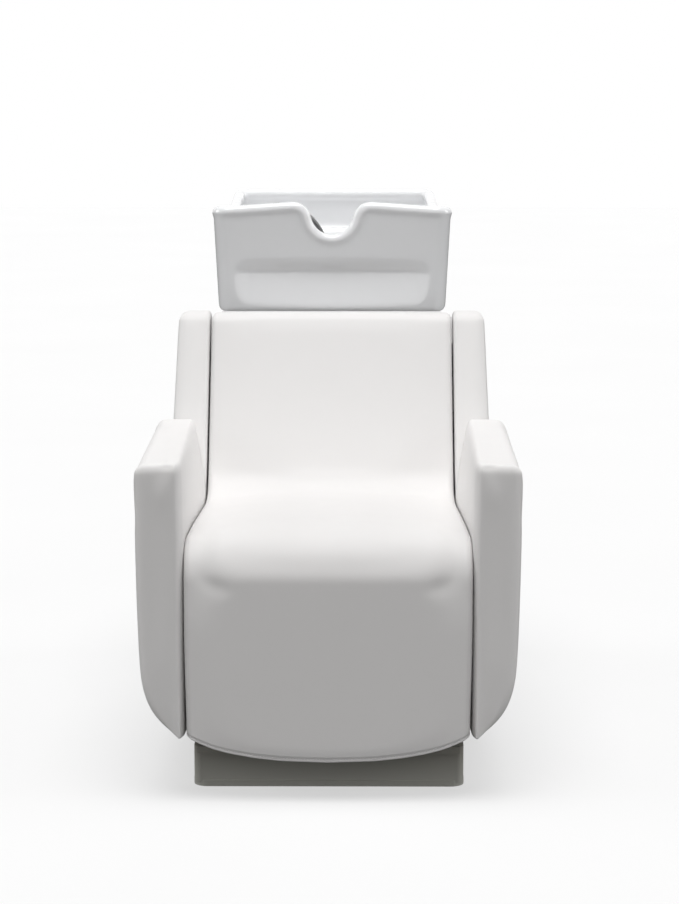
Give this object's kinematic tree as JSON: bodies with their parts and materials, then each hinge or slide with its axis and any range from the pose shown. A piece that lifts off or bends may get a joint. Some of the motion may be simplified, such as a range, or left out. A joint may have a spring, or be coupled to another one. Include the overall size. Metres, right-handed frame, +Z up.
{
  "type": "hair washing bed",
  "caption": "Salon hair washing bed: upholstered seat with leaning back, arm slabs and wings, and a tilting ceramic neck basin over a plumbing housing with a service door.",
  "frame": {"origin": "middle of the footprint, on the floor", "axes": "+Z up, +Y from the seat's front towards the basin, +X to the sitter's left"},
  "size_m": [0.68, 1.274, 1.0189],
  "materials": {
    "arm_bolts": "zinc plated",
    "base_plate": "black powder coat",
    "basin": "white glaze",
    "basin_bolts": "zinc plated",
    "basin_column": "black powder coat",
    "chassis": "black powder coat, welded",
    "cold_supply_hose": "braided steel hose",
    "cold_valve_handle": "blue handle",
    "collar": "moulded white plastic",
    "column_bolts": "zinc plated",
    "cradle": "black powder coat",
    "cradle_pads": "rubber",
    "door_pull": "satin anodised",
    "drain_flange": "polished chrome",
    "drain_gasket": "rubber",
    "drain_tail_nut": "chrome plated",
    "floor_board": "black laminated board",
    "floor_pads": "matt moulded rubber",
    "floor_spigot": "grey waste pipe",
    "hair_strainer": "polished, drilled",
    "hinge_fixed_leaves": "plated steel",
    "hinge_moving_leaves": "plated steel",
    "hose_grommet": "polished chrome",
    "hose_nut": "polished chrome",
    "hot_supply_hose": "braided steel hose",
    "hot_valve_handle": "red handle",
    "left_arm_core": "plywood and board core",
    "left_arm_cover": "smooth white upholstery vinyl over foam",
    "left_side_panel": "pale laminate",
    "left_wing_core": "plywood core",
    "left_wing_cover": "smooth white upholstery vinyl over foam",
    "magnet_catch": "black plastic with magnet",
    "mixer_body": "polished chrome",
    "mixer_cap": "polished chrome",
    "mixer_lever": "polished chrome",
    "mixer_nut": "turned brass",
    "pipe_plate": "grey painted plate",
    "pivot_bracket": "black powder coat",
    "pivot_bushes": "acetal bushes",
    "pivot_pin": "ground steel",
    "plinth": "matt black laminate over board",
    "rear_frame": "pale laminate",
    "right_arm_core": "plywood and board core",
    "right_arm_cover": "smooth white upholstery vinyl over foam",
    "right_side_panel": "pale laminate",
    "right_wing_core": "plywood core",
    "right_wing_cover": "smooth white upholstery vinyl over foam",
    "seat_pad": "smooth white upholstery vinyl over foam",
    "seat_shell": "moulded plywood",
    "service_door": "pale laminate",
    "shell_screws": "zinc plated",
    "shower_handle": "polished chrome",
    "shower_holder": "polished chrome",
    "shower_hose": "dark chromed spiral metal hose",
    "spray_face": "grey spray face",
    "stop_valves": "brass valves and inlet pipes",
    "strike_plate": "plated steel",
    "top_panel": "pale laminate",
    "waste_hose": "grey flexible waste hose",
    "wing_bolts": "zinc plated"
  },
  "bodies": {
    "base": {"floor_pads": "floor_pads", "plinth": "plinth", "base_plate": "base_plate", "floor_board": "floor_board", "chassis": "chassis", "seat_shell": "seat_shell", "seat_pad": "seat_pad", "left_arm_cover": "left_arm_cover", "right_arm_cover": "right_arm_cover", "left_arm_core": "left_arm_core", "right_arm_core": "right_arm_core", "left_wing_cover": "left_wing_cover", "right_wing_cover": "right_wing_cover", "left_wing_core": "left_wing_core", "right_wing_core": "right_wing_core", "arm_bolts": "arm_bolts", "wing_bolts": "wing_bolts", "shell_screws": "shell_screws", "left_side_panel": "left_side_panel", "right_side_panel": "right_side_panel", "rear_frame": "rear_frame", "top_panel": "top_panel", "collar": "collar", "basin_column": "basin_column", "column_bolts": "column_bolts", "pivot_bracket": "pivot_bracket", "pivot_pin": "pivot_pin", "pipe_plate": "pipe_plate", "floor_spigot": "floor_spigot", "stop_valves": "stop_valves", "hot_supply_hose": "hot_supply_hose", "cold_supply_hose": "cold_supply_hose", "waste_hose": "waste_hose", "hinge_fixed_leaves": "hinge_fixed_leaves", "magnet_catch": "magnet_catch"},
    "door": {"service_door": "service_door", "hinge_moving_leaves": "hinge_moving_leaves", "strike_plate": "strike_plate", "door_pull": "door_pull"},
    "basin_unit": {"basin": "basin", "cradle": "cradle", "cradle_pads": "cradle_pads", "basin_bolts": "basin_bolts", "pivot_bushes": "pivot_bushes", "drain_flange": "drain_flange", "drain_gasket": "drain_gasket", "drain_tail_nut": "drain_tail_nut", "mixer_body": "mixer_body", "mixer_nut": "mixer_nut", "hose_grommet": "hose_grommet", "shower_holder": "shower_holder", "shower_hose": "shower_hose"},
    "strainer": {"hair_strainer": "hair_strainer"},
    "cap": {"mixer_cap": "mixer_cap"},
    "lever": {"mixer_lever": "mixer_lever"},
    "hand_shower": {"shower_handle": "shower_handle", "spray_face": "spray_face", "hose_nut": "hose_nut"},
    "hot_handle": {"hot_valve_handle": "hot_valve_handle"},
    "cold_handle": {"cold_valve_handle": "cold_valve_handle"}
  },
  "joints": [
    {"name": "basin_tilt", "type": "hinge", "parent": "base", "child": "basin_unit", "pos_m": [0, 0.2, 0.78], "axis": [1, 0, 0], "range_deg": [-5, 10], "deforming": ["hot_supply_hose", "cold_supply_hose", "waste_hose"]},
    {"name": "mixer_turn", "type": "hinge", "parent": "basin_unit", "child": "cap", "pos_m": [-0.177, 0.312, 0.956], "axis": [0, 0, 1], "range_deg": [-45, 45]},
    {"name": "mixer_lift", "type": "hinge", "parent": "cap", "child": "lever", "pos_m": [-0.177, 0.32, 0.9716], "axis": [-1, 0, 0], "range_deg": [0, 25]},
    {"name": "shower_lift", "type": "slide", "parent": "basin_unit", "child": "hand_shower", "axis": [0, 0, 1], "range_m": [0, 0.2]},
    {"name": "strainer_lift", "type": "slide", "parent": "basin_unit", "child": "strainer", "axis": [0, 0, 1], "range_m": [0, 0.12]},
    {"name": "door_swing", "type": "hinge", "parent": "base", "child": "door", "pos_m": [-0.207, 0.5576, 0.4], "axis": [0, 0, 1], "range_deg": [0, 110]},
    {"name": "hot_valve_turn", "type": "hinge", "parent": "base", "child": "hot_handle", "pos_m": [-0.05, 0.484, 0.23], "axis": [0, 1, 0], "range_deg": [0, 90]},
    {"name": "cold_valve_turn", "type": "hinge", "parent": "base", "child": "cold_handle", "pos_m": [0.05, 0.484, 0.23], "axis": [0, 1, 0], "range_deg": [0, 90]}
  ]
}
